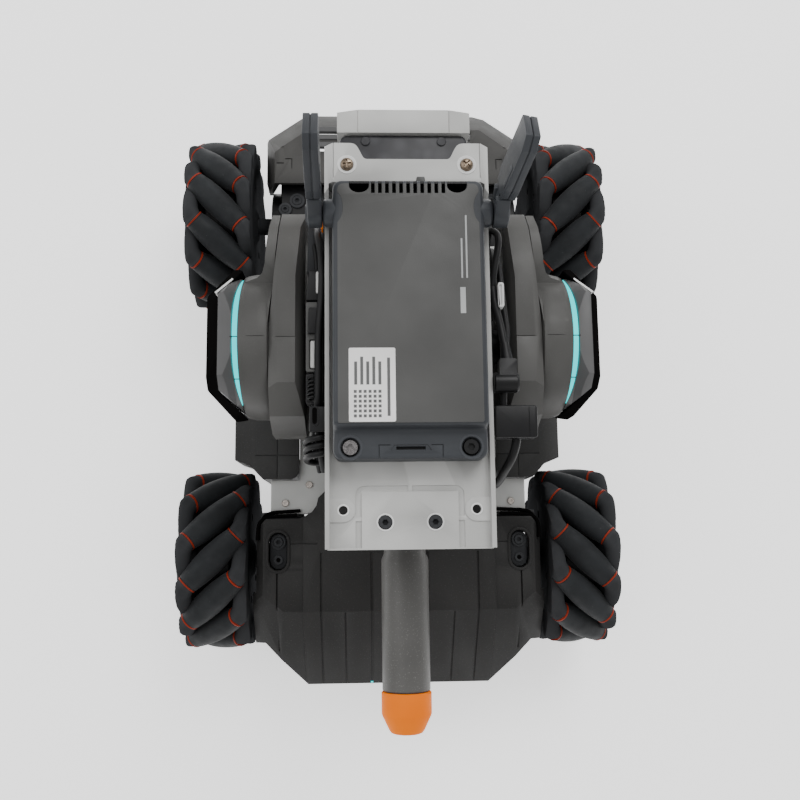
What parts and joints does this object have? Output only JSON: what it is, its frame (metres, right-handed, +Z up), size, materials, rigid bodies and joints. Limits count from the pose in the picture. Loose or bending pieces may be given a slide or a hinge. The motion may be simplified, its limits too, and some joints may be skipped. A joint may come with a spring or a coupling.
{
  "type": "mecanum wheel robot",
  "caption": "Small educational robot on mecanum wheels with a swinging front axle, a pan and tilt head with a blaster barrel, a top tray with a controller and folding antennas.",
  "frame": {"origin": "on the ground under the middle of the overall length and width", "axes": "+Z up, -Y to the front where the barrel points, +X to the side that carries the leads"},
  "size_m": [0.24, 0.346, 0.2693],
  "materials": {
    "graphite_plastic": "fine satin, slightly speckled",
    "slate_plastic": "fine satin",
    "black_plastic": "satin",
    "silver_plastic": "fine matt",
    "roller_rubber": "matt",
    "steel": "bright",
    "signal_orange": "satin",
    "cyan_light": "lit diffuser",
    "smoked_plastic": "smoked gloss"
  },
  "bodies": {
    "chassis": {"chassis_tub": "graphite_plastic", "chassis_deck": "silver_plastic", "battery": "black_plastic", "rear_cabin_cover": "black_plastic", "front_armour": "graphite_plastic", "front_left_armour_screw_plate": "black_plastic", "front_right_armour_screw_plate": "black_plastic", "front_hit_panel": "black_plastic", "front_light_bar": "cyan_light", "left_side_armour": "graphite_plastic", "right_side_armour": "graphite_plastic", "rear_left_motor": "black_plastic", "rear_right_motor": "black_plastic", "yaw_motor": "slate_plastic", "rear_hinge_pin": "steel"},
    "front_axle": {"front_axle_beam": "slate_plastic", "front_left_motor": "black_plastic", "front_right_motor": "black_plastic"},
    "front_left_wheel": {"front_left_roller_ring": "roller_rubber", "front_left_outer_hub": "graphite_plastic", "front_left_inner_hub": "graphite_plastic"},
    "front_right_wheel": {"front_right_roller_ring": "roller_rubber", "front_right_outer_hub": "graphite_plastic", "front_right_inner_hub": "graphite_plastic"},
    "rear_left_wheel": {"rear_left_roller_ring": "roller_rubber", "rear_left_outer_hub": "graphite_plastic", "rear_left_inner_hub": "graphite_plastic"},
    "rear_right_wheel": {"rear_right_roller_ring": "roller_rubber", "rear_right_outer_hub": "graphite_plastic", "rear_right_inner_hub": "graphite_plastic"},
    "rear_hatch": {"rear_armour": "graphite_plastic"},
    "gimbal_yoke": {"turntable": "graphite_plastic", "left_arm": "graphite_plastic", "left_pod_cover": "graphite_plastic", "left_light_ring": "cyan_light", "left_hit_block": "slate_plastic", "left_hit_armour": "black_plastic", "right_arm": "graphite_plastic", "right_pod_cover": "graphite_plastic", "right_light_ring": "cyan_light", "right_hit_block": "slate_plastic", "right_hit_armour": "black_plastic"},
    "blaster_head": {"blaster_housing": "black_plastic", "blaster_barrel": "slate_plastic", "muzzle_tip": "signal_orange", "camera_module": "black_plastic", "top_tray": "silver_plastic", "tray_front_left_screw": "black_plastic", "tray_front_right_screw": "black_plastic", "controller_base": "slate_plastic", "controller_cover": "slate_plastic", "power_plug": "black_plastic", "data_plug": "black_plastic", "left_cable_clip": "black_plastic"},
    "bead_box": {"bead_container": "smoked_plastic", "container_cap": "silver_plastic"},
    "left_antenna_base": {"left_antenna_knuckle": "slate_plastic"},
    "left_antenna": {"left_antenna_blade": "slate_plastic"},
    "right_antenna_base": {"right_antenna_knuckle": "slate_plastic"},
    "right_antenna": {"right_antenna_blade": "slate_plastic"}
  },
  "joints": [
    {"name": "front_left_wheel_spin", "type": "hinge", "parent": "front_axle", "child": "front_left_wheel", "pos_m": [-0.101, -0.093, 0.05], "axis": [1, 0, 0], "continuous": true},
    {"name": "front_right_wheel_spin", "type": "hinge", "parent": "front_axle", "child": "front_right_wheel", "pos_m": [0.101, -0.093, 0.05], "axis": [1, 0, 0], "continuous": true},
    {"name": "rear_left_wheel_spin", "type": "hinge", "parent": "chassis", "child": "rear_left_wheel", "pos_m": [-0.101, 0.107, 0.05], "axis": [1, 0, 0], "continuous": true},
    {"name": "rear_right_wheel_spin", "type": "hinge", "parent": "chassis", "child": "rear_right_wheel", "pos_m": [0.101, 0.107, 0.05], "axis": [1, 0, 0], "continuous": true},
    {"name": "front_axle_swing", "type": "hinge", "parent": "chassis", "child": "front_axle", "pos_m": [0, -0.093, 0.05], "axis": [0, 1, 0], "range_deg": [-4, 4]},
    {"name": "gimbal_yaw", "type": "hinge", "parent": "chassis", "child": "gimbal_yoke", "pos_m": [0, 0.007, 0.1], "axis": [0, 0, 1], "range_deg": [-250, 250]},
    {"name": "gimbal_pitch", "type": "hinge", "parent": "gimbal_yoke", "child": "blaster_head", "pos_m": [0, 0.007, 0.168], "axis": [-1, 0, 0], "range_deg": [-20, 35]},
    {"name": "left_antenna_turn", "type": "hinge", "parent": "blaster_head", "child": "left_antenna_base", "pos_m": [-0.0392, 0.053, 0.226], "axis": [1, 0, 0], "range_deg": [-60, 75]},
    {"name": "left_antenna_fold", "type": "hinge", "parent": "left_antenna_base", "child": "left_antenna", "pos_m": [-0.0392, 0.05746, 0.23439], "axis": [0, -0.8829, 0.4695], "range_deg": [0, 60]},
    {"name": "right_antenna_turn", "type": "hinge", "parent": "blaster_head", "child": "right_antenna_base", "pos_m": [0.0392, 0.053, 0.226], "axis": [1, 0, 0], "range_deg": [-60, 75]},
    {"name": "right_antenna_fold", "type": "hinge", "parent": "right_antenna_base", "child": "right_antenna", "pos_m": [0.0392, 0.05746, 0.23439], "axis": [0, 0.8829, -0.4695], "range_deg": [-12, 48]},
    {"name": "rear_hatch_hinge", "type": "hinge", "parent": "chassis", "child": "rear_hatch", "pos_m": [0, 0.1595, 0.037], "axis": [-1, 0, 0], "range_deg": [0, 80]},
    {"name": "bead_container_slide", "type": "slide", "parent": "blaster_head", "child": "bead_box", "axis": [0, 1, 0], "range_m": [0, 0.03]}
  ]
}
